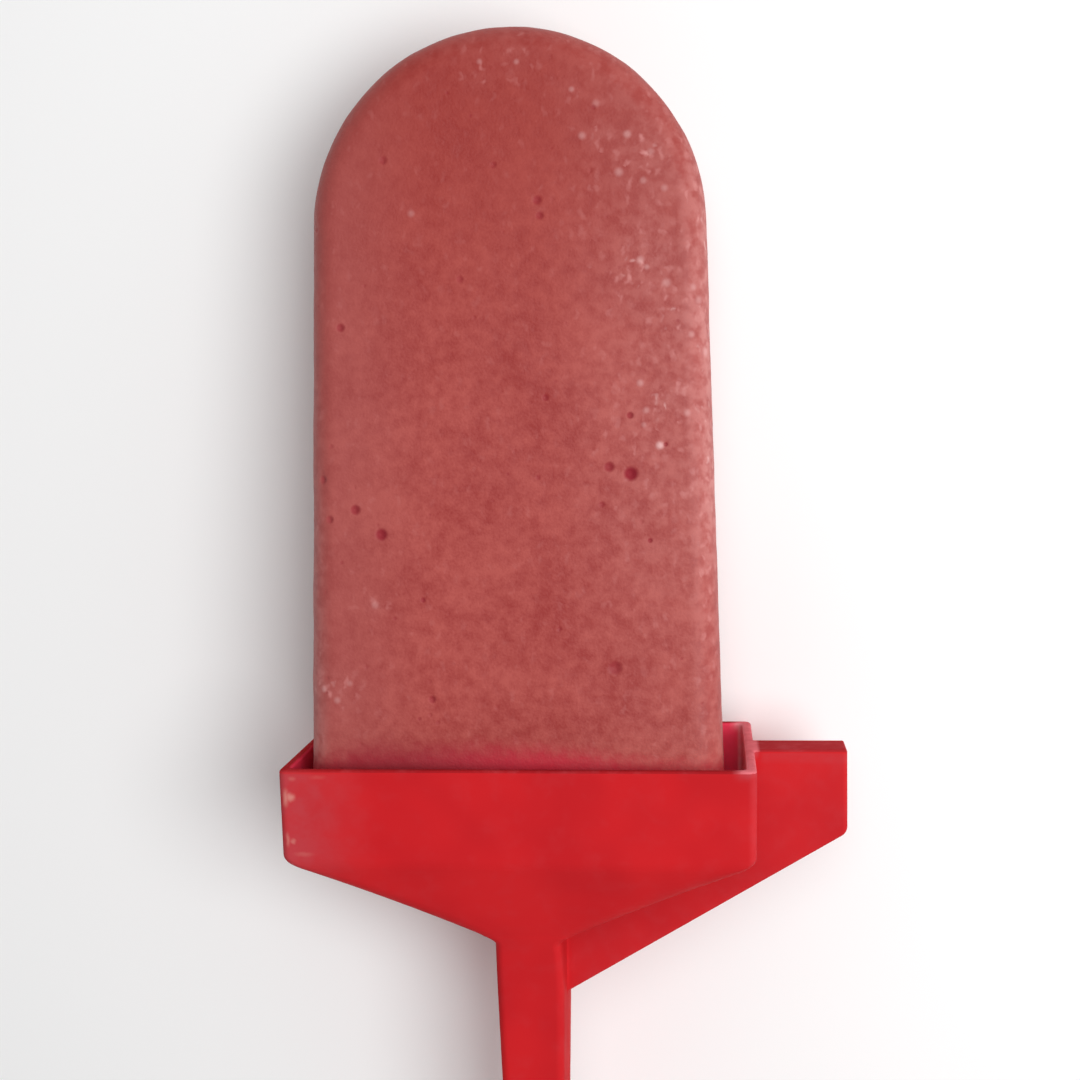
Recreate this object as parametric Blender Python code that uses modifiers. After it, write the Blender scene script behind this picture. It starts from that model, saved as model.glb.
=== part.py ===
"""Ice pop in a moulded holder with a drip tray, laid on its back.

The frozen body is a flat, slightly tapering slab with a half-round tip. Its foot stands in a
rectangular drip tray. Under the tray the one-piece plastic holder narrows like a funnel to a
slim handle, and a flat pouring wing, level with the tray's rim, reaches out on one side.

Everything is modelled flat: +X across the pop, towards the wing, +Y along it, towards the tip,
+Z up, out of the side that shows. Y = 0 is the rim of the tray and X = 0, Z = 0 is the axis.
The finished pieces hang from one empty, which tilts them until the tip touches the ground and
puts the middle of the whole object's underside at the origin.
"""

import math

import bmesh
import bpy
from mathutils import Matrix, Vector

MM = 0.001

# Drip tray
TRAY_WIDTH = 60.8 * MM
TRAY_DEPTH = 30.6 * MM
TRAY_HEIGHT = 12.4 * MM
TRAY_WALL = 1.25 * MM
TRAY_DRAFT = 0.15 * MM
TRAY_EDGE_RADIUS = 1.2 * MM
RIM_RADIUS = 0.4 * MM
POCKET_EDGE_RADIUS = 1.0 * MM

# Funnel between the tray and the handle
FUNNEL_FOOT = -23.7 * MM
FUNNEL_LIP = 0.15 * MM

# Handle
HANDLE_END = -84.0 * MM
HANDLE_CENTRE = 0.5 * MM
HANDLE_HEAD_WIDTH = 10.0 * MM
HANDLE_END_WIDTH = 6.8 * MM
HANDLE_HEAD_DEPTH = 18.4 * MM
HANDLE_GRIP_DEPTH = 13.0 * MM
HANDLE_END_DEPTH = 9.4 * MM
HANDLE_NECK_LENGTH = 10.0 * MM
HANDLE_NECK_DRAFT = 0.13
HANDLE_GRIP_DRAFT = 0.05
HANDLE_EDGE_RADIUS = 1.0 * MM
HANDLE_FLARE = 1.3 * MM
HANDLE_SOCKET = 2.5 * MM
HANDLE_RINGS = 20

# Pouring wing
WING_REACH = 42.45 * MM
WING_END_HEIGHT = 11.1 * MM
WING_SLOPE = math.radians(30.7)
WING_THICKNESS = 6.4 * MM
WING_TIP_RADIUS = 0.9 * MM
WING_EDGE_RADIUS = 0.7 * MM

# Frozen body
ICE_LENGTH = 93.3 * MM
ICE_RIM_WIDTH = 53.8 * MM
ICE_TIP_RADIUS = 25.2 * MM
ICE_RIM_THICKNESS = 24.6 * MM
ICE_TIP_THICKNESS = 19.6 * MM
ICE_EDGE_RADIUS = 3.6 * MM
ICE_LEAN = math.radians(0.2)
ICE_SIDESTEP = -0.45 * MM
TIP_SEGMENTS = 40

# Roundings
BEVEL_SEGMENTS = 4
ARC_SEGMENTS = 6

# Fits
CONTACT_GAP = 0.3 * MM
OVERLAP = 0.5 * MM
REST_SPOT_CUT = 0.12 * MM
CUTTER_MARGIN = 4.0 * MM

PART_NAME = "ice_pop"
POCKET_FLOOR = TRAY_WALL - TRAY_HEIGHT


def clear_scene():
    for scene_object in list(bpy.data.objects):
        bpy.data.objects.remove(scene_object, do_unlink=True)


def new_collection(name):
    collection = bpy.data.collections.new(name)
    bpy.context.scene.collection.children.link(collection)
    return collection


def new_material(name, color, roughness):
    material = bpy.data.materials.new(name)
    material.use_nodes = True
    shader = material.node_tree.nodes["Principled BSDF"]
    shader.inputs["Base Color"].default_value = (*color, 1.0)
    shader.inputs["Roughness"].default_value = roughness
    return material


def object_from_bmesh(name, mesh_data, collection):
    mesh = bpy.data.meshes.new(name)
    bmesh.ops.recalc_face_normals(mesh_data, faces=mesh_data.faces)
    mesh_data.to_mesh(mesh)
    mesh_data.free()
    made = bpy.data.objects.new(name, mesh)
    collection.objects.link(made)
    return made


def mark_as_tool(tool):
    """A cutter, or a piece that is joined to another, is not a part of its own."""
    tool.hide_render = True
    tool.display_type = "WIRE"


def bisect(mesh_data, point, normal):
    whole = mesh_data.verts[:] + mesh_data.edges[:] + mesh_data.faces[:]
    bmesh.ops.bisect_plane(mesh_data, geom=whole, plane_co=point, plane_no=normal)


def ringed_block(name, collection, ring_count, place, split_middle=False):
    """A box cut into rings along Y. place(ring, x, z) puts each corner, x and z from -1 to 1."""
    mesh_data = bmesh.new()
    bmesh.ops.create_cube(mesh_data, size=1.0)
    last = ring_count - 1
    for ring in range(1, last):
        bisect(mesh_data, (0, 0.5 - ring / last, 0), (0, 1, 0))
    if split_middle:
        bisect(mesh_data, (0, 0, 0), (0, 0, 1))
    for vertex in mesh_data.verts:
        ring = round((0.5 - vertex.co.y) * last)
        vertex.co = place(ring, 2 * vertex.co.x, 2 * vertex.co.z)
    return object_from_bmesh(name, mesh_data, collection)


def bevel_by_weight(target, radius, weight_of_edge):
    """Rounds each edge by radius times the weight that weight_of_edge gives it."""
    weights = target.data.attributes.new("bevel_weight_edge", "FLOAT", "EDGE")
    for edge in target.data.edges:
        start, end = (target.data.vertices[index].co for index in edge.vertices)
        weights.data[edge.index].value = weight_of_edge(start, end)
    bevel = target.modifiers.new("rounded_edges", "BEVEL")
    bevel.limit_method = "WEIGHT"
    bevel.width = radius
    bevel.segments = BEVEL_SEGMENTS


def bevel_by_angle(target, radius, degrees):
    bevel = target.modifiers.new("rounded_edges", "BEVEL")
    bevel.limit_method = "ANGLE"
    bevel.angle_limit = math.radians(degrees)
    bevel.width = radius
    bevel.segments = BEVEL_SEGMENTS


def add_boolean(target, operand, operation):
    boolean = target.modifiers.new(operand.name, "BOOLEAN")
    boolean.object = operand
    boolean.operation = operation


def shade_round(target):
    weld = target.modifiers.new("weld", "WELD")
    weld.merge_threshold = 0.00001
    target.data.shade_smooth()
    target.data.set_sharp_from_angle(angle=math.radians(35.0))


def filleted_outline(corners):
    """Points of a closed outline, each corner (x, y, radius) of it replaced by an arc."""
    points = []
    for index, (x, y, radius) in enumerate(corners):
        corner = Vector((x, y))
        if radius == 0.0:
            points.append(corner)
            continue
        before = (Vector(corners[index - 1][:2]) - corner).normalized()
        after = (Vector(corners[(index + 1) % len(corners)][:2]) - corner).normalized()
        half_angle = before.angle(after) / 2
        centre = corner + (before + after).normalized() * radius / math.sin(half_angle)
        first = corner + before * radius / math.tan(half_angle) - centre
        last = corner + after * radius / math.tan(half_angle) - centre
        turn = first.angle_signed(last)
        for step in range(ARC_SEGMENTS + 1):
            arm = first.copy()
            arm.rotate(Matrix.Rotation(-turn * step / ARC_SEGMENTS, 2))
            points.append(centre + arm)
    return points


def outline_solid(name, collection, points, thickness):
    """A flat outline in the XY plane, filled and given a thickness along Z."""
    curve = bpy.data.curves.new(name, "CURVE")
    curve.dimensions = "2D"
    curve.fill_mode = "BOTH"
    curve.extrude = thickness / 2
    spline = curve.splines.new("POLY")
    spline.points.add(len(points) - 1)
    for point, (x, y) in zip(spline.points, points):
        point.co = (x, y, 0.0, 1.0)
    spline.use_cyclic_u = True
    drawn = bpy.data.objects.new(name + "_outline", curve)
    collection.objects.link(drawn)
    depsgraph = bpy.context.evaluated_depsgraph_get()
    mesh = bpy.data.meshes.new_from_object(drawn.evaluated_get(depsgraph))
    bpy.data.objects.remove(drawn, do_unlink=True)
    mesh_data = bmesh.new()
    mesh_data.from_mesh(mesh)
    bpy.data.meshes.remove(mesh)
    bmesh.ops.remove_doubles(mesh_data, verts=mesh_data.verts, dist=0.00001)
    bmesh.ops.dissolve_limit(
        mesh_data,
        angle_limit=math.radians(0.1),
        verts=mesh_data.verts,
        edges=mesh_data.edges,
    )
    return object_from_bmesh(name, mesh_data, collection)


def make_tray_and_funnel(collection):
    """The outside of the tray, narrowing a little to its floor, and the funnel under it."""
    foot_width = handle_width(FUNNEL_FOOT) + 2 * FUNNEL_LIP
    foot_depth = HANDLE_HEAD_DEPTH + 2 * FUNNEL_LIP
    sizes = [
        (0.0, 0.0, TRAY_WIDTH, TRAY_DEPTH),
        (-TRAY_HEIGHT, 0.0, TRAY_WIDTH - 2 * TRAY_DRAFT, TRAY_DEPTH - 2 * TRAY_DRAFT),
        (FUNNEL_FOOT, HANDLE_CENTRE, foot_width, foot_depth),
    ]

    def place(ring, x, z):
        y, centre, width, depth = sizes[ring]
        return (centre + x * width / 2, y, z * depth / 2)

    def weight(start, end):
        on_rim = start.y == 0.0 and end.y == 0.0
        return RIM_RADIUS / TRAY_EDGE_RADIUS if on_rim else 1.0

    body = ringed_block("holder", collection, len(sizes), place)
    bevel_by_weight(body, TRAY_EDGE_RADIUS, weight)
    return body


def make_pocket(collection):
    """The hollow of the tray, cut open through the rim."""
    width = TRAY_WIDTH - 2 * TRAY_WALL
    depth = TRAY_DEPTH - 2 * TRAY_WALL

    def place(ring, x, z):
        y = POCKET_FLOOR if ring else CUTTER_MARGIN
        inset = 2 * TRAY_DRAFT if ring else 0.0
        return (x * (width - inset) / 2, y, z * (depth - inset) / 2)

    pocket = ringed_block("pocket", collection, 2, place)
    bevel_by_angle(pocket, POCKET_EDGE_RADIUS, 30.0)
    return pocket


def neck_share(y):
    """1 at the head of the handle, falling to 0 where the neck has become the grip."""
    share = 1.0 - (FUNNEL_FOOT - y) / HANDLE_NECK_LENGTH
    return min(1.0, max(0.0, share)) ** 1.4


def handle_width(y):
    """Width across the middle plane: an even taper, with a hollow flare up into the funnel."""
    share = (FUNNEL_FOOT - y) / (FUNNEL_FOOT - HANDLE_END)
    taper = HANDLE_HEAD_WIDTH + (HANDLE_END_WIDTH - HANDLE_HEAD_WIDTH) * share
    rise = min(1.0, max(0.0, 1.0 - (FUNNEL_FOOT - y) / HANDLE_FLARE))
    return taper + 2 * HANDLE_FLARE * (1.0 - math.sqrt(1.0 - (0.9 * rise) ** 2))


def handle_depth(y):
    """Depth: it narrows down the neck, then has a slight even taper to the end."""
    grip_head = FUNNEL_FOOT - HANDLE_NECK_LENGTH
    along = max(0.0, grip_head - y) / (grip_head - HANDLE_END)
    grip = HANDLE_GRIP_DEPTH + (HANDLE_END_DEPTH - HANDLE_GRIP_DEPTH) * along
    return grip + (HANDLE_HEAD_DEPTH - HANDLE_GRIP_DEPTH) * neck_share(y)


def handle_draft(y):
    """How much the sides lean in for each unit of height above the middle plane."""
    return HANDLE_GRIP_DRAFT + (HANDLE_NECK_DRAFT - HANDLE_GRIP_DRAFT) * neck_share(y)


def make_handle(collection):
    """The slim handle. Its sides slope in from the middle plane to the front and the back.

    Ring 0 is set up inside the funnel, the rest are closest together in the flare.
    """

    def place(ring, x, z):
        share = (max(0, ring - 1) / (HANDLE_RINGS - 2)) ** 2
        y = FUNNEL_FOOT + (HANDLE_END - FUNNEL_FOOT) * share
        if ring == 0:
            y += HANDLE_SOCKET
        height = z * handle_depth(y) / 2
        half_width = handle_width(y) / 2 - handle_draft(y) * abs(height)
        return (HANDLE_CENTRE + x * half_width, y, height)

    handle = ringed_block("handle", collection, HANDLE_RINGS, place, split_middle=True)
    bevel_by_angle(handle, HANDLE_EDGE_RADIUS, 45.0)
    return handle


def make_wing(collection):
    """The flat wing beside the tray and the funnel, down to the side of the handle."""
    root_x = (TRAY_WIDTH - TRAY_WALL) / 2
    shelf_y = -TRAY_HEIGHT - OVERLAP
    low_y = -WING_END_HEIGHT - (WING_REACH - HANDLE_CENTRE) * math.tan(WING_SLOPE)
    corners = [
        (root_x, 0.0, 0.0),
        (root_x, shelf_y, 0.0),
        (HANDLE_CENTRE, shelf_y, 0.0),
        (HANDLE_CENTRE, low_y, 0.0),
        (WING_REACH, -WING_END_HEIGHT, WING_TIP_RADIUS),
        (WING_REACH, 0.0, WING_TIP_RADIUS / 2),
    ]
    wing = outline_solid("wing", collection, filleted_outline(corners), WING_THICKNESS)
    bevel_by_angle(wing, WING_EDGE_RADIUS, 50.0)
    return wing


def make_holder(collection, tools):
    holder = make_tray_and_funnel(collection)
    for joined in (make_handle(tools), make_wing(tools)):
        mark_as_tool(joined)
        add_boolean(holder, joined, "UNION")
    pocket = make_pocket(tools)
    mark_as_tool(pocket)
    add_boolean(holder, pocket, "DIFFERENCE")
    shade_round(holder)
    holder.data.materials.append(new_material("red_plastic", (0.58, 0.018, 0.020), 0.22))
    return holder


def ice_outline():
    """Tapering sides from the foot up, then a half-round tip."""
    foot_y = POCKET_FLOOR + CONTACT_GAP
    centre_y = ICE_LENGTH - ICE_TIP_RADIUS
    side_slope = (ICE_RIM_WIDTH / 2 - ICE_TIP_RADIUS) / centre_y
    foot_x = ICE_RIM_WIDTH / 2 - side_slope * foot_y
    points = [Vector((-foot_x, foot_y)), Vector((foot_x, foot_y))]
    for step in range(TIP_SEGMENTS + 1):
        angle = math.pi * step / TIP_SEGMENTS
        x = ICE_TIP_RADIUS * math.cos(angle)
        points.append(Vector((x, centre_y + ICE_TIP_RADIUS * math.sin(angle))))
    return points


def ice_thickness(y):
    return ICE_RIM_THICKNESS + (ICE_TIP_THICKNESS - ICE_RIM_THICKNESS) * y / ICE_LENGTH


def tip_contact_y():
    """Where the flat back of the ice starts to round off to the tip."""
    return ICE_LENGTH - ICE_EDGE_RADIUS


def rest_tilt():
    """How far the part turns about X so that the tray's back edge and the tip both touch."""
    drop = TRAY_DEPTH / 2 - ice_thickness(tip_contact_y()) / 2 + REST_SPOT_CUT
    return math.atan2(drop, tip_contact_y())


def make_rest_cutter(collection):
    """A slab just under the plane that the part lies on. It leaves a flat spot at the tip."""

    def place(ring, x, z):
        y = CUTTER_MARGIN if ring else ICE_LENGTH + CUTTER_MARGIN
        return (x * TRAY_WIDTH / 2, y, (z - 1) * CUTTER_MARGIN / 2)

    cutter = ringed_block("rest_plane", collection, 2, place)
    lower = Matrix.Translation((0, 0, -TRAY_DEPTH / 2))
    cutter.matrix_world = lower @ Matrix.Rotation(rest_tilt(), 4, "X")
    return cutter


def make_ice(collection, tools):
    ice = outline_solid("ice", collection, ice_outline(), 1.0)
    for vertex in ice.data.vertices:
        vertex.co.z *= ice_thickness(vertex.co.y)
    lean = Matrix.Rotation(-ICE_LEAN, 4, "Z")
    ice.data.transform(Matrix.Translation((ICE_SIDESTEP, 0, 0)) @ lean)
    bevel_by_angle(ice, ICE_EDGE_RADIUS, 30.0)
    rest_cutter = make_rest_cutter(tools)
    mark_as_tool(rest_cutter)
    add_boolean(ice, rest_cutter, "DIFFERENCE")
    shade_round(ice)
    ice.data.materials.append(new_material("berry_ice", (0.50, 0.115, 0.100), 0.35))
    return ice


def lay_down(parts, tools, collection):
    """Tilts everything about X to rest on the ground, then centres it over the origin."""
    base = bpy.data.objects.new("base", None)
    collection.objects.link(base)
    base.rotation_euler.x = -rest_tilt()
    for piece in [*parts, *tools.objects]:
        piece.parent = base
    bpy.context.view_layer.update()
    depsgraph = bpy.context.evaluated_depsgraph_get()
    corners = []
    for part in parts:
        shown = part.evaluated_get(depsgraph)
        corners += [shown.matrix_world @ vertex.co for vertex in shown.data.vertices]
    low = Vector([min(corner[axis] for corner in corners) for axis in range(3)])
    high = Vector([max(corner[axis] for corner in corners) for axis in range(3)])
    base.location = (-(low.x + high.x) / 2, -(low.y + high.y) / 2, -low.z)


def main():
    clear_scene()
    collection = new_collection(PART_NAME)
    tools = new_collection("cutters")
    parts = [make_holder(collection, tools), make_ice(collection, tools)]
    lay_down(parts, tools, collection)


main()
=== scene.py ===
"""Looks of the ice pop: a frosty, pitted slab of frozen fruit in a glossy red drip-tray holder.

Both pieces are modelled flat, in millimetres, as the CAD is: +X across the pop towards the wing,
+Y along it towards its tip, +Z out of the side that shows, Y = 0 at the tray's rim. Each one is
a distance field, negative inside, that is turned into an even net of quads.
"""

import math

import bmesh
import bpy
import numpy as np
from mathutils import Matrix, Vector, kdtree, noise

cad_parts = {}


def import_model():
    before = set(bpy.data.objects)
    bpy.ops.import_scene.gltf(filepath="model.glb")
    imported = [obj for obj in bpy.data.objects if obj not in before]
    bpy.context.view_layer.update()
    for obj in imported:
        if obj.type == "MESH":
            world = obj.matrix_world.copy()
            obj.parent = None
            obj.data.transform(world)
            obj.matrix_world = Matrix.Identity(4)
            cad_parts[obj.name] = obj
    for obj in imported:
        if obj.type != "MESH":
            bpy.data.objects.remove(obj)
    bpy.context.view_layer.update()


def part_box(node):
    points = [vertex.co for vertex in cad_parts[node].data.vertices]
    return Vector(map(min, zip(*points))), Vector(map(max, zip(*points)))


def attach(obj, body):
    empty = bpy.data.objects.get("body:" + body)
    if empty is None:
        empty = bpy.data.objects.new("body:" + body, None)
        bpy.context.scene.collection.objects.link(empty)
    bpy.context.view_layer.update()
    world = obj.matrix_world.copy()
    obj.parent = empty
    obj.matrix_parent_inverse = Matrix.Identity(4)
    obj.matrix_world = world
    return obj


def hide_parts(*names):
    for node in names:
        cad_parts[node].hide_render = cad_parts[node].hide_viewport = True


MM = 0.001

# Drip tray
TRAY_WIDTH = 60.8
TRAY_DEPTH = 30.58
TRAY_HEIGHT = 12.4
TRAY_WALL = 1.25
TRAY_DRAFT = 0.15
TRAY_FLOOR = TRAY_WALL - TRAY_HEIGHT

# Funnel and handle
FUNNEL_FOOT = -23.7
FUNNEL_FOOT_WIDTH = 11.6
FUNNEL_FOOT_DEPTH = 18.7
HANDLE_END = -84.0
HANDLE_CENTRE = 0.5
HANDLE_HEAD_WIDTH = 10.0
HANDLE_END_WIDTH = 6.8
HANDLE_HEAD_DEPTH = 18.4
HANDLE_GRIP_DEPTH = 13.0
HANDLE_END_DEPTH = 9.4
HANDLE_NECK_LENGTH = 10.0
HANDLE_NECK_DRAFT = 0.09
HANDLE_GRIP_DRAFT = 0.05

# Pouring wing
WING_REACH = 42.45
WING_END_HEIGHT = 11.1
WING_SLOPE = math.radians(30.7)
WING_THICKNESS = 6.4

# Frozen body
ICE_FOOT = TRAY_FLOOR + 0.3
ICE_LENGTH = 93.3
ICE_RIM_WIDTH = 53.8
ICE_TIP_RADIUS = 25.2
ICE_RIM_THICKNESS = 24.6
ICE_TIP_THICKNESS = 19.6
ICE_EDGE_RADIUS = 3.6
ICE_LEAN = math.radians(0.2)
ICE_SIDESTEP = -0.45
ICE_CELL = 0.48
REST_SPOT_CUT = 0.12
REST_GAP = 0.02

# Burst air bubbles on the side that shows: x, y, radius, depth, and how much painted shade darkens them
BUBBLES = (
    (15.1, 37.0, 1.00, 0.50, 1.0),
    (12.4, 37.9, 0.72, 0.30, 0.75),
    (-16.8, 29.7, 0.86, 0.42, 0.9),
    (-20.1, 32.9, 0.72, 0.32, 0.75),
    (12.8, 12.5, 0.95, 0.34, 0.55),
    (-10.7, 8.5, 0.55, 0.26, 0.6),
    (15.1, 44.3, 0.50, 0.26, 0.75),
    (4.5, 46.7, 0.48, 0.20, 0.55),
    (-21.4, 56.0, 0.60, 0.24, 0.65),
    (3.9, 71.2, 0.62, 0.22, 0.60),
    (4.2, 69.3, 0.58, 0.20, 0.55),
    (-15.4, 76.7, 0.60, 0.18, 0.45),
    (-1.5, 75.7, 0.48, 0.15, 0.40),
    (-6.0, 61.7, 0.52, 0.16, 0.45),
    (-23.5, 31.7, 0.60, 0.25, 0.5),
    (-24.3, 36.8, 0.60, 0.25, 0.5),
    (17.4, 28.6, 0.36, 0.20, 0.7),
    (11.4, 33.2, 0.45, 0.16, 0.5),
    (-11.6, 21.3, 0.36, 0.18, 0.7),
    (19.5, 40.6, 0.32, 0.20, 0.6),
)
# Single frost crystals, raised a little, with a painted glint: x, y, radius, strength
SPARKLES = (
    (18.75, 40.5, 0.62, 0.80),
    (16.4, 48.3, 0.56, 0.33),
    (17.1, 44.9, 0.53, 0.28),
    (16.8, 43.1, 0.44, 0.25),
    (22.2, 44.5, 0.56, 0.28),
    (8.4, 84.6, 0.45, 0.28),
    (9.6, 78.9, 0.62, 0.28),
    (15.2, 78.9, 0.62, 0.33),
    (11.4, 82.8, 0.62, 0.19),
    (18.1, 76.7, 0.56, 0.22),
    (14.1, 74.3, 0.69, 0.28),
    (17.1, 73.2, 0.56, 0.25),
    (19.7, 72.2, 0.56, 0.22),
    (16.6, 63.5, 0.62, 0.33),
    (17.4, 62.6, 0.44, 0.28),
    (19.8, 60.6, 0.69, 0.28),
    (23.2, 60.0, 0.56, 0.28),
    (23.9, 58.4, 0.69, 0.30),
    (22.9, 54.2, 0.56, 0.28),
    (24.6, 52.0, 0.75, 0.36),
    (-3.0, 88.4, 0.45, 0.22),
    (1.6, 88.2, 0.45, 0.25),
    (-12.0, 70.0, 0.56, 0.19),
    (-24.9, 9.8, 0.53, 0.33),
    (-23.1, 8.4, 0.56, 0.25),
    (-21.4, 10.6, 0.50, 0.19),
    (-17.8, 20.7, 0.62, 0.19),
)
# Frost on the same side: x, y, radius, strength
FROST = (
    (16.6, 62.8, 3.2, 0.55),
    (22.7, 55.9, 3.4, 0.60),
    (19.5, 46.1, 2.6, 0.55),
    (16.8, 76.9, 2.6, 0.45),
    (11.9, 78.9, 2.0, 0.40),
    (-2.9, 86.7, 2.0, 0.40),
    (8.2, 84.7, 1.8, 0.35),
    (1.7, 88.4, 2.4, 0.35),
    (-23.3, 9.8, 2.8, 0.55),
    (-17.8, 20.7, 1.4, 0.50),
)

# Scuffs on the tray's left end, pale as worn plastic with a painted highlight: centre, half size,
# strength
SCUFFS_AND_SHEEN = (
    ((-29.50, -3.6, 14.6), (0.60, 1.70, 2.0), 0.75),
    ((-28.85, -3.5, 15.2), (0.95, 0.80, 0.9), 0.70),
    ((-29.35, -9.1, 14.7), (0.45, 1.40, 1.4), 0.50),
    ((-28.70, -9.3, 15.2), (0.50, 0.50, 0.8), 0.40),
    ((-27.40, -11.0, 15.2), (1.80, 0.45, 0.9), 0.16),
    ((-28.60, -1.1, 15.2), (0.70, 0.50, 0.9), 0.20),
    ((-25.20, -0.9, 15.2), (1.60, 0.40, 0.9), 0.10),
)

# Room
WORLD_LOW = 0.70
WORLD_TOP = 0.08

# Camera, in the same flat frame
CAMERA_PLACE = (24.53, 49.18, 217.61)
CAMERA_YAW = math.radians(-5.82)
CAMERA_PITCH = math.radians(5.61)
CAMERA_ROLL = math.radians(1.17)
CAMERA_LENS = 55.0


# ---------------------------------------------------------------- distance fields


def round_max(a, b, radius):
    """The intersection of two fields, its edge rounded."""
    past_a = np.maximum(a + radius, 0.0)
    past_b = np.maximum(b + radius, 0.0)
    return np.minimum(np.maximum(a, b), -radius) + np.hypot(past_a, past_b)


def round_min(a, b, radius):
    """The union of two fields, with a fillet between them."""
    return -round_max(-a, -b, radius)


def soft_max(a, b, width):
    blend = np.maximum(width - np.abs(a - b), 0.0)
    return np.maximum(a, b) + blend * blend / (4.0 * width)


def soft_min(a, b, width):
    return -soft_max(-a, -b, width)


def between(start, end, share):
    return start + (end - start) * share


def funnel_share(y):
    """0 at the tray's floor, 1 at the funnel's foot, and on in a straight line."""
    return (-TRAY_HEIGHT - y) / (-TRAY_HEIGHT - FUNNEL_FOOT)


def neck_share(y):
    share = 1.0 - (FUNNEL_FOOT - y) / HANDLE_NECK_LENGTH
    return np.clip(share, 0.0, 1.0) ** 1.4


def half_width(y):
    """Half the holder's width at each height: tray, funnel, handle."""
    draft = TRAY_DRAFT * np.clip(y, -TRAY_HEIGHT, 0.0) / TRAY_HEIGHT
    tray = TRAY_WIDTH / 2 + draft
    funnel = between(TRAY_WIDTH / 2 - TRAY_DRAFT, FUNNEL_FOOT_WIDTH / 2, funnel_share(y))
    share = (FUNNEL_FOOT - y) / (FUNNEL_FOOT - HANDLE_END)
    handle = between(HANDLE_HEAD_WIDTH, HANDLE_END_WIDTH, share) / 2
    return soft_max(soft_min(tray, funnel, 2.6), handle, 1.6)


def half_depth(y):
    """Half the holder's depth at each height."""
    draft = TRAY_DRAFT * np.clip(y, -TRAY_HEIGHT, 0.0) / TRAY_HEIGHT
    tray = TRAY_DEPTH / 2 + draft
    funnel = between(TRAY_DEPTH / 2 - TRAY_DRAFT, FUNNEL_FOOT_DEPTH / 2, funnel_share(y))
    grip_head = FUNNEL_FOOT - HANDLE_NECK_LENGTH
    along = np.maximum(0.0, grip_head - y) / (grip_head - HANDLE_END)
    grip = between(HANDLE_GRIP_DEPTH, HANDLE_END_DEPTH, along)
    neck = (HANDLE_HEAD_DEPTH - HANDLE_GRIP_DEPTH) * neck_share(y)
    return soft_max(soft_min(tray, funnel, 0.45), (grip + neck) / 2, 0.4)


def sloped(distance, profile, y):
    """Scales a distance across a sloping profile to the true distance from it."""
    slope = (profile(y + 0.05) - profile(y - 0.05)) / 0.1
    return distance / np.sqrt(1.0 + slope * slope)


def holder_body(x, y, z):
    """Tray, funnel and handle: one box section whose width and depth change along Y."""
    centre = HANDLE_CENTRE * np.clip(funnel_share(y), 0.0, 1.0)
    below = np.clip((FUNNEL_FOOT - y) / 1.2, 0.0, 1.0)
    draft = below * between(HANDLE_GRIP_DRAFT, HANDLE_NECK_DRAFT, neck_share(y))
    across = np.abs(x - centre) - half_width(y) + draft * np.abs(z)
    through = np.abs(z) - half_depth(y)
    share = np.clip(funnel_share(y), 0.0, 1.0)
    rounding = 1.0 + 3.6 * share * (1.0 - share)
    body = round_max(sloped(across, half_width, y), sloped(through, half_depth, y), rounding)
    body = round_max(body, y, 0.45)
    return round_max(body, HANDLE_END - y, 1.0)


def wing(x, y, z):
    low_y = -WING_END_HEIGHT - (WING_REACH - x) * math.tan(WING_SLOPE)
    outline = round_max(x - WING_REACH, (low_y - y) * math.cos(WING_SLOPE), 0.7)
    outline = np.maximum(outline, HANDLE_CENTRE - x)
    outline = round_max(outline, y, 0.25)
    return round_max(outline, np.abs(z) - WING_THICKNESS / 2, 0.55)


def pocket(x, y, z):
    """The hollow of the tray."""
    draft = TRAY_DRAFT * np.clip(y, -TRAY_HEIGHT, 0.0) / TRAY_HEIGHT
    across = np.abs(x) - (TRAY_WIDTH / 2 - TRAY_WALL + draft)
    through = np.abs(z) - (TRAY_DEPTH / 2 - TRAY_WALL + draft)
    return round_max(round_max(across, through, 1.0), TRAY_FLOOR - y, 0.8)


def holder_field(x, y, z):
    outside = round_min(holder_body(x, y, z), wing(x, y, z), 0.3)
    outside = np.maximum(outside, y)
    return round_max(outside, -pocket(x, y, z), 0.35)


def ice_thickness(y):
    return between(ICE_RIM_THICKNESS, ICE_TIP_THICKNESS, y / ICE_LENGTH)


def rest_tilt():
    """The angle that the part turns about X so that the tray and the tip both touch."""
    contact_y = ICE_LENGTH - ICE_EDGE_RADIUS
    drop = TRAY_DEPTH / 2 - ice_thickness(contact_y) / 2 + REST_SPOT_CUT
    return math.atan2(drop, contact_y)


def ice_field(x, y, z):
    turned_x = (x - ICE_SIDESTEP) * math.cos(ICE_LEAN) - y * math.sin(ICE_LEAN)
    turned_y = (x - ICE_SIDESTEP) * math.sin(ICE_LEAN) + y * math.cos(ICE_LEAN)
    centre_y = ICE_LENGTH - ICE_TIP_RADIUS
    taper = (ICE_RIM_WIDTH / 2 - ICE_TIP_RADIUS) / centre_y
    sides = np.abs(turned_x) - (ICE_RIM_WIDTH / 2 - taper * turned_y)
    tip = np.hypot(turned_x, turned_y - centre_y) - ICE_TIP_RADIUS
    outline = np.where(turned_y > centre_y, tip, sides)
    outline = round_max(outline, ICE_FOOT - turned_y, ICE_EDGE_RADIUS)
    slab = round_max(outline, np.abs(z) - ice_thickness(turned_y) / 2, ICE_EDGE_RADIUS)
    tilt = rest_tilt()
    floor = -(z + TRAY_DEPTH / 2) * math.cos(tilt) + y * math.sin(tilt)
    return np.maximum(slab, floor + REST_GAP)


# ---------------------------------------------------------------- from field to mesh


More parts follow.
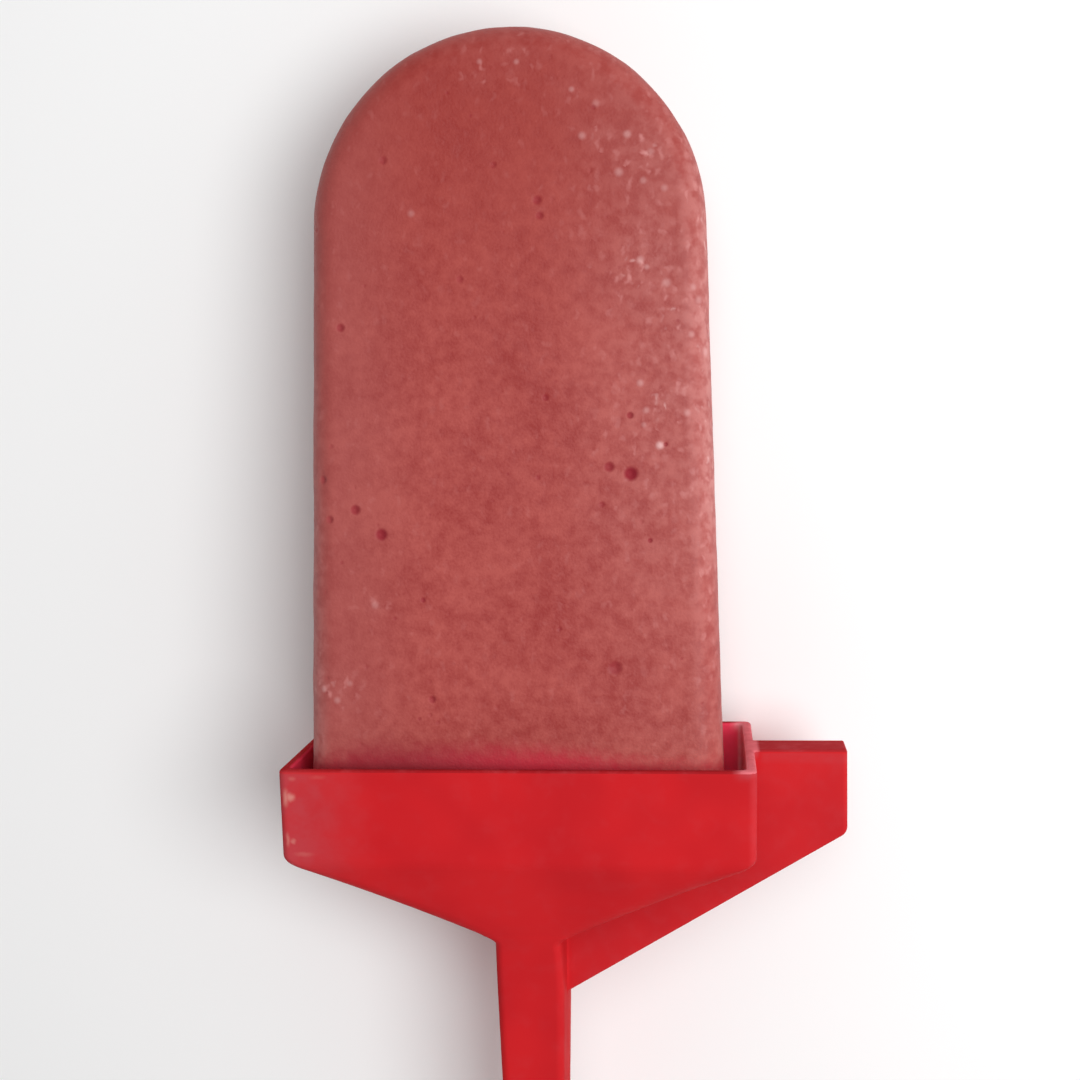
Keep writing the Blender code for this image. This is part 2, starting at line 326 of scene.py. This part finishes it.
def grid_lines(low, high, spots, fine, coarse):
    """Grid lines from low to high, close together at each spot, a (start, end) interval."""
    lines = [low]
    while lines[-1] < high:
        here = lines[-1]
        gap = min(max(start - here, here - end, 0.0) for start, end in spots)
        lines.append(here + min(coarse, fine + 0.3 * gap))
    return np.array(lines)


def surface_net(field, lines):
    """Points and quads of the surface where the field is zero: a point in each cell it cuts."""
    values = field(*np.meshgrid(*lines, indexing="ij"))
    cells, crossings, outward = [], [], []
    for axis in range(3):
        low = np.take(values, range(values.shape[axis] - 1), axis)
        high = np.take(values, range(1, values.shape[axis]), axis)
        at = np.argwhere((low < 0) != (high < 0))
        before, after = low[tuple(at.T)], high[tuple(at.T)]
        point = np.stack([lines[i][at[:, i]] for i in range(3)], 1)
        step = lines[axis][at[:, axis] + 1] - point[:, axis]
        point[:, axis] += step * before / (before - after)
        around = np.repeat(at[:, None], 4, 1)
        around[:, (0, 3), (axis + 1) % 3] -= 1
        around[:, (0, 1), (axis + 2) % 3] -= 1
        cells.append(np.ravel_multi_index(np.moveaxis(around, 2, 0), values.shape))
        crossings.append(point)
        outward.append(before < 0)
    cells, crossings = np.concatenate(cells), np.concatenate(crossings)
    outward = np.concatenate(outward)
    used, quads = np.unique(cells, return_inverse=True)
    quads = quads.reshape(-1, 4)
    share = np.bincount(quads.ravel(), minlength=len(used))
    spread = np.repeat(crossings, 4, 0)
    points = [np.bincount(quads.ravel(), spread[:, i]) / share for i in range(3)]
    quads[~outward] = quads[~outward][:, ::-1]
    return np.stack(points, 1), quads


def field_normals(field, points):
    step = 0.01
    slopes = []
    for axis in range(3):
        ahead, behind = points.copy(), points.copy()
        ahead[:, axis] += step
        behind[:, axis] -= step
        slopes.append((field(*ahead.T) - field(*behind.T)) / (2 * step))
    return np.stack(slopes, 1)


def settle(field, points):
    """Moves points onto the surface, a few straight steps down the field's slope."""
    for _ in range(4):
        slopes = field_normals(field, points)
        steep = np.maximum((slopes * slopes).sum(1), 0.05)
        points = points - slopes * (field(*points.T) / steep)[:, None]
    return points


def mesh_object(name, points, quads):
    mesh = bpy.data.meshes.new(name)
    mesh.from_pydata(points * MM, [], quads.tolist())
    mesh.validate()
    mesh.shade_smooth()
    made = bpy.data.objects.new(name, mesh)
    bpy.context.scene.collection.objects.link(made)
    return made


def mesh_points(mesh):
    flat = np.empty(len(mesh.vertices) * 3)
    mesh.vertices.foreach_get("co", flat)
    return flat.reshape(-1, 3) / MM


def move_points(mesh, points):
    mesh.vertices.foreach_set("co", (points * MM).ravel())
    mesh.update()


# ---------------------------------------------------------------- pieces


def make_holder():
    lines = (
        grid_lines(
            -31.2,
            43.2,
            [(-30.6, -28.8), (-5.6, -3.0), (3.6, 6.6), (28.8, 30.9), (41.2, 42.6)],
            0.2,
            0.9,
        ),
        grid_lines(
            -84.8,
            0.7,
            [(-84.2, -82.8), (-25.6, -22.9), (-13.6, -10.4), (-1.0, 0.2)],
            0.2,
            0.9,
        ),
        grid_lines(-16.0, 16.0, [(-15.5, -13.8), (-3.4, -2.2), (2.2, 3.4), (13.8, 15.5)], 0.2, 0.6),
    )
    points, quads = surface_net(holder_field, lines)
    points = settle(holder_field, points)
    holder = mesh_object("holder_shell", points, quads)
    x, y, z = points.T
    # Painted light: the pocket's inner faces get a brighter red, more so on the right, as if light came
    # through the thin wall.
    inside = 1.0 - ramp(0.02, 0.25, np.abs(pocket(x, y, z)))
    set_values(holder.data, "inside", inside * (0.70 + 0.30 * ramp(-1.0, 1.0, x)))
    # The tray's left end hazier and pinker: part worn, part painted sheen off its rounded edges.
    haze_and_painted_sheen = ramp(-16.5, -31.5, x) * ramp(-16.5, -11.5, y) * (1.0 - inside)
    haze_and_painted_sheen *= 1.0 - ramp(-0.6, -0.2, y)
    # The wing a little paler and pinker, less so on its top.
    aside = (0.14 - 0.08 * ramp(-0.6, -0.2, y)) * ramp(0.2, 1.0, holder_body(x, y, z))
    # Painted highlight on the rim over the right wall.
    corner = ramp(27.5, 28.5, x) * (1.0 - ramp(30.7, 31.2, x)) * ramp(-1.6, -0.2, y)
    # Painted light: the right wall's inner face paler, as if light came through it.
    wall = ramp(28.3, 28.8, x) * inside
    # Painted highlight down the tray's rounded front-right corner.
    line = 0.40 * ramp(29.0, 30.1, x) * (1.0 - ramp(30.7, 31.2, x)) * ramp(6.0, 12.0, z)
    # Painted highlight along the front edge of the wing's top.
    edge = 0.45 * ramp(31.0, 31.6, x) * ramp(-2.2, -1.2, y) * (1.0 - ramp(-0.5, -0.25, y))
    set_values(holder.data, "haze_and_painted_sheen", np.maximum.reduce([haze_and_painted_sheen, corner, wall, line, edge, aside]))
    return holder


def refine(mesh, centres, reach):
    """Halves the faces near each centre, for detail finer than the net."""
    shape = bmesh.new()
    shape.from_mesh(mesh)
    tree = kdtree.KDTree(len(shape.verts))
    for vertex in shape.verts:
        tree.insert(vertex.co, vertex.index)
    tree.balance()
    near = set()
    for centre, radius in zip(centres, reach):
        near.update(index for _, index, _ in tree.find_range(Vector(centre) * MM, radius * MM))
    edges = [e for e in shape.edges if e.verts[0].index in near and e.verts[1].index in near]
    bmesh.ops.subdivide_edges(shape, edges=edges, cuts=1, use_grid_fill=True)
    large = [face for face in shape.faces if len(face.verts) > 4]
    bmesh.ops.triangulate(shape, faces=large)
    shape.to_mesh(mesh)
    shape.free()


def ramp(low, high, value):
    """0 below low, 1 above high, and a smooth step between."""
    share = np.clip((value - low) / (high - low), 0.0, 1.0)
    return share * share * (3.0 - 2.0 * share)


def lumps(points, size, seed):
    """Smooth noise from 0 to 1."""
    offset = Vector((seed, 2.7 * seed, -1.3 * seed))
    found = [noise.noise(Vector(point) / size + offset) for point in points]
    return np.clip(0.5 + 0.5 * np.array(found), 0.0, 1.0)


def set_values(mesh, name, values):
    layer = mesh.attributes.new(name, "FLOAT", "POINT")
    layer.data.foreach_set("value", values.astype(np.float32))


def on_front(points, marks):
    """The marks with the point of the front under each x, y in their place."""
    front = points[points[:, 2] > 4.0]
    found = []
    for x, y, *rest in marks:
        nearest = np.argmin((front[:, 0] - x) ** 2 + (front[:, 1] - y) ** 2)
        found.append((np.array((x, y, front[nearest, 2])), *rest))
    return found


def bubbles_in(points):
    """(place, radius, depth, strength of painted shade) of each burst bubble: the ones that show, then
    random ones.
    """
    found = on_front(points, BUBBLES)
    draw = np.random.default_rng(11)
    bare = points[points[:, 1] > 1.5]
    for place in bare[draw.integers(0, len(bare), 120)]:
        radius = draw.uniform(0.20, 0.42)
        found.append((place, radius, radius * draw.uniform(0.12, 0.35), draw.uniform(0.1, 0.45)))
    hidden = bare[bare[:, 2] < 4.0]
    for place in hidden[draw.integers(0, len(hidden), 18)]:
        radius = draw.uniform(0.4, 0.85)
        found.append((place, radius, radius * draw.uniform(0.3, 0.7), draw.uniform(0.5, 1.0)))
    return found


def frost_on(points):
    """How grainy with frost each point is, and how filmed over with frost and painted sheen, both from 0
    to 1.
    """
    x, y, z = points.T
    frost = 0.30 * ramp(3.0, 21.0, x) + 0.45 * ramp(20.5, 25.5, x)
    frost *= 0.35 + 0.65 * ramp(8.0, 38.0, y)
    # Along the right edge: frost, paler still as a painted sheen where the edge catches the light.
    frost += 0.50 * ramp(23.8, 25.8, x) * ramp(20.0, 40.0, y)
    # Along the left edge frost and painted sheen; frost towards the tip.
    frost += 0.30 * ramp(-23.0, -26.5, x) + 0.16 * ramp(87.0, 93.0, y)
    frost *= 0.45 + 0.55 * ramp(-2.0, 9.0, z)
    # Painted sheen on the very left edge, only in the filmed-over share.
    frost_film_and_sheen = frost + 0.32 * ramp(-24.0, -26.8, x)
    for at_x, at_y, radius, strength in FROST:
        away = (x - at_x) ** 2 + (y - at_y) ** 2
        patch = strength * np.exp(-away / radius**2) * ramp(0.0, 6.0, z)
        frost += 1.2 * patch
        frost_film_and_sheen += 0.20 * patch
    return np.clip(frost, 0.0, 1.0), np.clip(frost_film_and_sheen, 0.0, 1.0)


def make_ice():
    lines = (
        np.arange(-29.0, 29.0, ICE_CELL),
        np.arange(-12.0, 95.0, ICE_CELL),
        np.arange(-14.0, 14.0, ICE_CELL),
    )
    points, quads = surface_net(ice_field, lines)
    points = settle(ice_field, points)
    ice = mesh_object("frozen_body", points, quads)
    bubbles, sparkles = bubbles_in(points), on_front(points, SPARKLES)
    centres = [mark[0] for mark in bubbles + sparkles]
    refine(ice.data, centres, [1.5 * mark[1] + 0.55 for mark in bubbles + sparkles])
    refine(ice.data, centres, [1.25 * mark[1] + 0.2 for mark in bubbles + sparkles])
    points = settle(ice_field, mesh_points(ice.data))
    inward = field_normals(ice_field, points)
    inward /= -np.maximum(np.linalg.norm(inward, axis=1), 0.01)[:, None]
    tilt = rest_tilt()
    above = (points[:, 2] + TRAY_DEPTH / 2) * math.cos(tilt) - points[:, 1] * math.sin(tilt)
    depth = 0.22 * lumps(points, 9.0, 1.0) + 0.09 * lumps(points, 3.1, 2.0)
    depth += 0.035 * lumps(points, 1.2, 3.0)
    depth *= ramp(0.0, 2.0, above)
    pit = np.zeros(len(points))
    for place, radius, deep, dark in bubbles:
        away = np.linalg.norm(points - place, axis=1) / radius
        depth += 0.85 * deep * (1.0 - ramp(0.0, 1.15, away))
        # pit: painted shade in each bubble, a darker, wetter red.
        pit = np.maximum(pit, dark * (1.0 - ramp(0.55, 1.15, away)))
    # glint: a painted highlight on each listed frost crystal, which is also raised a little.
    glint = np.zeros(len(points))
    for place, radius, strength in sparkles:
        away = np.linalg.norm(points - place, axis=1) / radius
        glint = np.maximum(glint, strength * (1.0 - ramp(0.15, 1.15, away)))
    depth = np.maximum(depth - 0.10 * glint, 0.0)
    move_points(ice.data, points + inward * depth[:, None])
    set_values(ice.data, "glint", glint)
    set_values(ice.data, "pit", pit)
    frost, frost_film_and_sheen = frost_on(points)
    set_values(ice.data, "frost", frost)
    set_values(ice.data, "frost_film_and_sheen", frost_film_and_sheen)
    return ice


# ---------------------------------------------------------------- materials


def add_node(tree, kind, inputs=None, **settings):
    made = tree.nodes.new(kind)
    for name, value in settings.items():
        setattr(made, name, value)
    for name, value in (inputs or {}).items():
        if isinstance(value, bpy.types.NodeSocket):
            tree.links.new(value, made.inputs[name])
        else:
            made.inputs[name].default_value = value
    return made


def new_material(name):
    material = bpy.data.materials.new(name)
    material.use_nodes = True
    return material, material.node_tree, material.node_tree.nodes["Principled BSDF"]


def flat_coordinates(tree, lay):
    """The flat frame's coordinates, in millimetres."""
    back, turn, _ = lay.inverted().decompose()
    own = add_node(tree, "ShaderNodeTexCoord")
    inputs = {
        "Vector": own.outputs["Object"],
        "Location": back / MM,
        "Rotation": turn.to_euler(),
        "Scale": (1 / MM, 1 / MM, 1 / MM),
    }
    return add_node(tree, "ShaderNodeMapping", inputs).outputs["Vector"]


def moved_aside(tree, place, seed):
    """The same coordinates far away, so that two textures don't look alike."""
    inputs = {0: place, 1: (seed * 31.7, seed * -17.3, seed * 47.9)}
    return add_node(tree, "ShaderNodeVectorMath", inputs, operation="ADD").outputs["Vector"]


def cloud(tree, place, size, detail=2.0, seed=0.0):
    """Noise from 0 to 1 whose features are about size millimetres across."""
    inputs = {"Vector": moved_aside(tree, place, seed), "Scale": 1.0 / size, "Detail": detail}
    return add_node(tree, "ShaderNodeTexNoise", inputs).outputs["Fac"]


def ranged(tree, value, low, high, out_low=0.0, out_high=1.0, kind="SMOOTHSTEP"):
    inputs = {
        "Value": value,
        "From Min": low,
        "From Max": high,
        "To Min": out_low,
        "To Max": out_high,
    }
    made = add_node(tree, "ShaderNodeMapRange", inputs, interpolation_type=kind)
    return made.outputs["Result"]


def maths(tree, operation, *values):
    inputs = dict(enumerate(values))
    return add_node(tree, "ShaderNodeMath", inputs, operation=operation).outputs["Value"]


def blended(tree, share, first, second):
    inputs = {0: share, 6: first, 7: second}
    return add_node(tree, "ShaderNodeMix", inputs, data_type="RGBA").outputs[2]


def specks(tree, place, cell, radius, soft, share, seed=0.0):
    """1 in scattered round spots, 0 between them: each cell holds one, but only a share of them show."""
    inputs = {"Vector": moved_aside(tree, place, seed), "Scale": 1.0 / cell}
    spots = add_node(tree, "ShaderNodeTexVoronoi", inputs)
    round_spot = ranged(tree, spots.outputs["Distance"], radius / cell, (radius - soft) / cell)
    random = add_node(tree, "ShaderNodeSeparateColor", {"Color": spots.outputs["Color"]})
    shown = maths(tree, "LESS_THAN", random.outputs["Red"], share)
    shown = maths(tree, "MULTIPLY", shown, ranged(tree, random.outputs["Green"], 0.0, 1.0, 0.3, 1.0))
    return maths(tree, "MULTIPLY", round_spot, shown)


def spot(tree, place, centre, size, soft):
    """1 in an ellipsoid about the centre, fading out over soft of its size."""
    offset = add_node(
        tree, "ShaderNodeVectorMath", {0: place, 1: centre}, operation="SUBTRACT"
    ).outputs["Vector"]
    scaled = add_node(
        tree, "ShaderNodeVectorMath", {0: offset, 1: size}, operation="DIVIDE"
    ).outputs["Vector"]
    length = add_node(tree, "ShaderNodeVectorMath", {0: scaled}, operation="LENGTH")
    return ranged(tree, length.outputs["Value"], 1.0, 1.0 - soft)


def make_red_plastic(name, lay, rim):
    material, tree, shader = new_material(name)
    flat = flat_coordinates(tree, lay)
    broad = cloud(tree, flat, 14.0, seed=1.0)
    patchy = cloud(tree, flat, 2.2, 4.0, seed=2.0)
    grain = cloud(tree, flat, 0.22, 3.0, seed=3.0)
    # The rim copy is painted darker: painted shade on the top faces of the rim and the wing.
    rim_shade = 0.70 if rim else 1.0
    deep_red = (0.485 * rim_shade, 0.0105, 0.0150, 1.0)
    bright_red = (0.560 * rim_shade, 0.0130, 0.0170, 1.0)
    # On the rim copy this hazy red is pale pink, the colour of the painted highlights on the rim and the
    # wing's top edge.
    hazy_sheen_red = (0.800, 0.2000, 0.2300, 1.0) if rim else (0.455, 0.0520, 0.0640, 1.0)
    # Painted light: the bright red given to the pocket's inner faces.
    lit_red = (1.000, 0.0600, 0.1300, 1.0)
    # Painted glow on the right wall's inner face.
    wall_glow_red = (1.000, 0.4200, 0.4600, 1.0)
    # Pale colour of the scuffs: part wear, part painted highlight.
    scuff_sheen_pale = (0.640, 0.2600, 0.2200, 1.0)
    colour = blended(tree, ranged(tree, broad, 0.3, 0.7), deep_red, bright_red)
    colour = blended(tree, ranged(tree, patchy, 0.45, 0.8, 0.0, 0.10), colour, hazy_sheen_red)
    # Painted light inside the pocket.
    inside = add_node(tree, "ShaderNodeAttribute", attribute_name="inside").outputs["Fac"]
    colour = blended(tree, inside, colour, lit_red)
    # Hazy red and painted light: the left end and the wing hazier, painted highlights on the rim over
    # the right wall, the front-right corner and the wing's top edge, and a painted glow on the right
    # wall's inner face.
    haze_and_painted_sheen = add_node(tree, "ShaderNodeAttribute", attribute_name="haze_and_painted_sheen").outputs["Fac"]
    haze_and_painted_sheen = maths(tree, "MULTIPLY", haze_and_painted_sheen, ranged(tree, patchy, 0.30, 0.66, 0.55, 0.85))
    colour = blended(tree, haze_and_painted_sheen, colour, blended(tree, inside, hazy_sheen_red, wall_glow_red))
    torn = add_node(
        tree, "ShaderNodeTexNoise", {"Vector": flat, "Scale": 1 / 0.8, "Detail": 2.0}
    ).outputs["Color"]
    frayed = add_node(
        tree,
        "ShaderNodeVectorMath",
        {0: torn, 1: (0.4, 0.4, 0.4), 2: flat},
        operation="MULTIPLY_ADD",
    ).outputs["Vector"]
    scuffed_and_sheen = None
    for centre, size, strength in SCUFFS_AND_SHEEN:
        centre = Vector(centre) + Vector((0.2, 0.2, 0.2))
        mark = maths(tree, "MULTIPLY", spot(tree, frayed, centre, size, 0.9), strength)
        scuffed_and_sheen = mark if scuffed_and_sheen is None else maths(tree, "MAXIMUM", scuffed_and_sheen, mark)
    colour = blended(tree, scuffed_and_sheen, colour, scuff_sheen_pale)
    tree.links.new(colour, shader.inputs["Base Color"])
    smear = cloud(tree, flat, 5.0, 3.0, seed=5.0)
    rough = ranged(tree, smear, 0.3, 0.7, 0.80 if rim else 0.66, 0.90 if rim else 0.80, "LINEAR")
    rough = maths(tree, "MULTIPLY_ADD", haze_and_painted_sheen, 0.10, rough)
    rough = maths(tree, "MULTIPLY_ADD", scuffed_and_sheen, 0.15, rough)
    tree.links.new(rough, shader.inputs["Roughness"])
    shader.inputs["Specular IOR Level"].default_value = 0.04 if rim else 0.08
    height = maths(tree, "MULTIPLY_ADD", cloud(tree, flat, 6.0, 1.0, seed=6.0), 0.040, 0.0)
    height = maths(tree, "MULTIPLY_ADD", grain, 0.004, height)
    bump = add_node(tree, "ShaderNodeBump", {"Height": height, "Distance": MM})
    tree.links.new(bump.outputs["Normal"], shader.inputs["Normal"])
    return material


def make_frozen_fruit(lay):
    material, tree, shader = new_material("frozen_fruit")
    flat = flat_coordinates(tree, lay)
    axes = add_node(tree, "ShaderNodeSeparateXYZ", {0: flat}).outputs
    pit = add_node(tree, "ShaderNodeAttribute", attribute_name="pit").outputs["Fac"]
    frost = add_node(tree, "ShaderNodeAttribute", attribute_name="frost").outputs["Fac"]
    glint = add_node(tree, "ShaderNodeAttribute", attribute_name="glint").outputs["Fac"]
    wander = add_node(
        tree, "ShaderNodeTexNoise", {"Vector": flat, "Scale": 1 / 1.8, "Detail": 2.0}
    ).outputs["Color"]
    bent = add_node(
        tree,
        "ShaderNodeVectorMath",
        {0: wander, 1: (2.5, 2.5, 2.5), 2: flat},
        operation="MULTIPLY_ADD",
    ).outputs["Vector"]
    long = add_node(
        tree, "ShaderNodeVectorMath", {0: bent, 1: (1.0, 0.62, 1.0)}, operation="MULTIPLY"
    ).outputs["Vector"]
    broad = cloud(tree, flat, 9.0, 3.0, seed=1.0)
    mottle = cloud(tree, flat, 1.5, 2.0, seed=2.0)
    grain = cloud(tree, flat, 0.34, 1.0, seed=3.0)
    grainy = maths(tree, "MULTIPLY_ADD", frost, 0.5, 0.5)
    grains = specks(tree, long, 1.20, 0.58, 0.50, grainy, seed=1.0)
    crystals = specks(tree, long, 1.05, 0.45, 0.38, 0.4, seed=3.0)

    dark = (0.303, 0.0355, 0.0320, 1.0)
    light = (0.408, 0.0745, 0.0630, 1.0)
    dull = (0.350, 0.0860, 0.0800, 1.0)
    pale = (0.560, 0.1950, 0.1850, 1.0)
    frosty = (0.550, 0.2250, 0.2100, 1.0)
    # Painted glint colour.
    painted_glint_white = (0.740, 0.4300, 0.4200, 1.0)
    # Painted reflection and shade of the tray's red wall, near the rim.
    wall_reflected_red = (0.450, 0.0200, 0.0390, 1.0)
    wall_shaded_red = (0.290, 0.0190, 0.0300, 1.0)
    tip_shade_red = (0.285, 0.0200, 0.0130, 1.0)
    # Painted shade in the bubble pits.
    pit_shade_red = (0.255, 0.0110, 0.0220, 1.0)

    mixed = maths(tree, "MULTIPLY_ADD", broad, 0.40, maths(tree, "MULTIPLY", mottle, 0.42))
    mixed = maths(tree, "MULTIPLY_ADD", grain, 0.18, mixed)
    colour = blended(tree, ranged(tree, mixed, 0.375, 0.625, kind="LINEAR"), dark, light)
    # Painted shade: a darker red towards the tip.
    colour = blended(tree, ranged(tree, axes["Y"], 40.0, 86.0, 0.0, 0.52), colour, tip_shade_red)
    colour = blended(tree, ranged(tree, axes["X"], -8.0, -25.0, 0.0, 0.50), colour, dull)
    strength = maths(tree, "MULTIPLY_ADD", frost, 1.00, 0.14)
    colour = blended(tree, maths(tree, "MULTIPLY", grains, strength), colour, pale)
    # Frost filmed over the surface, with painted sheen along the edges.
    frost_film_and_sheen = add_node(tree, "ShaderNodeAttribute", attribute_name="frost_film_and_sheen").outputs["Fac"]
    frost_film_and_sheen = maths(tree, "MULTIPLY", frost_film_and_sheen, ranged(tree, mottle, 0.34, 0.66, 0.40, 1.05))
    colour = blended(tree, maths(tree, "MULTIPLY", frost_film_and_sheen, 0.80), colour, frosty)
    # Painted glints: scattered crystals in the frost and the listed sparkles, whitened.
    glints = maths(tree, "MULTIPLY", crystals, ranged(tree, frost, 0.35, 0.95))
    glints = maths(tree, "MAXIMUM", maths(tree, "MULTIPLY", glints, 0.45), glint)
    colour = blended(tree, glints, colour, painted_glint_white)
    # Painted reflection and shade from the tray's red wall on the pop just above the rim, darker to the
    # left.
    wall_bounce_reach = maths(tree, "MULTIPLY_ADD", mottle, 2.2, axes["Y"])
    wall_bounce_reach = maths(tree, "ADD", wall_bounce_reach, ranged(tree, axes["X"], -2.0, 24.0, 0.0, 2.6))
    wall_bounce_reach = maths(tree, "ADD", wall_bounce_reach, ranged(tree, axes["X"], -20.0, -26.0, 0.0, 1.6))
    rim = ranged(tree, wall_bounce_reach, 5.2, 1.2)
    wall_bounce_red = blended(tree, ranged(tree, axes["X"], -16.0, 4.0), wall_shaded_red, wall_reflected_red)
    colour = blended(tree, rim, colour, wall_bounce_red)
    # Painted shade in the burst bubbles.
    colour = blended(tree, pit, colour, pit_shade_red)
    tree.links.new(colour, shader.inputs["Base Color"])

    rough = ranged(tree, mixed, 0.36, 0.64, 0.42, 0.60, "LINEAR")
    rough = maths(tree, "MULTIPLY_ADD", frost_film_and_sheen, 0.15, rough)
    rough = maths(tree, "MULTIPLY_ADD", glints, -0.25, rough)
    rough = maths(tree, "MULTIPLY_ADD", pit, 0.15, rough)
    tree.links.new(rough, shader.inputs["Roughness"])
    shader.inputs["IOR"].default_value = 1.33
    height = maths(tree, "MULTIPLY", mottle, 0.060)
    height = maths(tree, "MULTIPLY_ADD", grain, 0.030, height)
    bump = add_node(tree, "ShaderNodeBump", {"Height": height, "Distance": MM})
    tree.links.new(bump.outputs["Normal"], shader.inputs["Normal"])
    return material


# ---------------------------------------------------------------- stage


def make_floor():
    bpy.ops.mesh.primitive_circle_add(vertices=96, radius=3.0, fill_type="NGON")
    floor = bpy.context.object
    floor.name = "floor"
    material, tree, shader = new_material("pale_floor")
    shader.inputs["Base Color"].default_value = (0.93, 0.93, 0.93, 1.0)
    shader.inputs["Roughness"].default_value = 0.9
    floor.data.materials.append(material)


def make_light(name, place, target, size, power):
    light = bpy.data.lights.new(name, "AREA")
    light.shape = "DISK"
    light.size = size
    light.energy = power
    made = bpy.data.objects.new(name, light)
    bpy.context.scene.collection.objects.link(made)
    made.location = place
    made.rotation_euler = (Vector(target) - Vector(place)).to_track_quat("-Z", "Y").to_euler()


def make_world():
    """A soft room: dark overhead, pale low down, and paler on the right."""
    world = bpy.data.worlds.new("soft_room")
    world.use_nodes = True
    tree = world.node_tree
    way = add_node(tree, "ShaderNodeTexCoord").outputs["Generated"]
    axes = add_node(tree, "ShaderNodeSeparateXYZ", {0: way}).outputs
    glow = ranged(tree, axes["Z"], 0.45, 0.95, WORLD_LOW, WORLD_TOP)
    glow = maths(tree, "MULTIPLY", glow, ranged(tree, axes["X"], -1.0, 1.0, 0.58, 1.42, "LINEAR"))
    background = tree.nodes["Background"]
    tree.links.new(glow, background.inputs["Strength"])
    background.inputs["Color"].default_value = (1.0, 1.0, 1.0, 1.0)
    bpy.context.scene.world = world


def make_camera(lay):
    camera = bpy.data.cameras.new("camera")
    camera.lens = CAMERA_LENS
    camera.sensor_width = 36.0
    made = bpy.data.objects.new("camera", camera)
    bpy.context.scene.collection.objects.link(made)
    view = (
        Matrix.Rotation(CAMERA_ROLL, 4, "Z")
        @ Matrix.Rotation(CAMERA_PITCH, 4, "X")
        @ Matrix.Rotation(CAMERA_YAW, 4, "Y")
    )
    place = Matrix.Translation(Vector(CAMERA_PLACE) * MM)
    made.matrix_world = lay @ place @ view.transposed()
    bpy.context.scene.camera = made


def lie_down(holder, ice):
    """Turns and moves the flat pieces to where the CAD's holder lies; returns that as a matrix."""
    pieces = (holder, ice)
    turn = Matrix.Rotation(-rest_tilt(), 4, "X")
    for piece in pieces:
        piece.data.transform(turn)
    points = mesh_points(holder.data) * MM
    low, high = points.min(0), points.max(0)
    cad_low, cad_high = (np.array(corner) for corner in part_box("holder"))
    shift = (cad_low + cad_high) / 2 - (low + high) / 2
    shift[2] = cad_low[2] - low[2]
    move = Matrix.Translation(Vector(shift))
    for piece in pieces:
        piece.data.transform(move)
    return move @ turn


def edge_slots(mesh, lay):
    """Puts the second material, the copy darkened as painted shade, on the faces that make the rim and
    the wing's top.
    """
    back = lay.inverted()
    for face in mesh.polygons:
        if (back @ face.center)[1] > -0.25 * MM:
            face.material_index = 1


def main():
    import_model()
    bpy.context.scene.view_settings.view_transform = "Standard"
    holder, ice = make_holder(), make_ice()
    lay = lie_down(holder, ice)
    holder.data.materials.append(make_red_plastic("red_plastic_worn", lay, False))
    holder.data.materials.append(make_red_plastic("red_plastic_rim_shaded", lay, True))
    edge_slots(holder.data, lay)
    ice.data.materials.append(make_frozen_fruit(lay))
    for piece, node, slot in ((holder, "holder", "red_plastic"), (ice, "ice", "berry_ice")):
        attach(piece, "root")
        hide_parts(node)
    make_floor()
    make_world()
    make_light("key", (0.18, 0.04, 0.36), (0.0, 0.0, 0.02), 0.25, 1.02)
    make_light("top", (0.04, 0.22, 0.47), (0.0, 0.0, 0.02), 0.25, 0.55)
    make_camera(lay)


main()
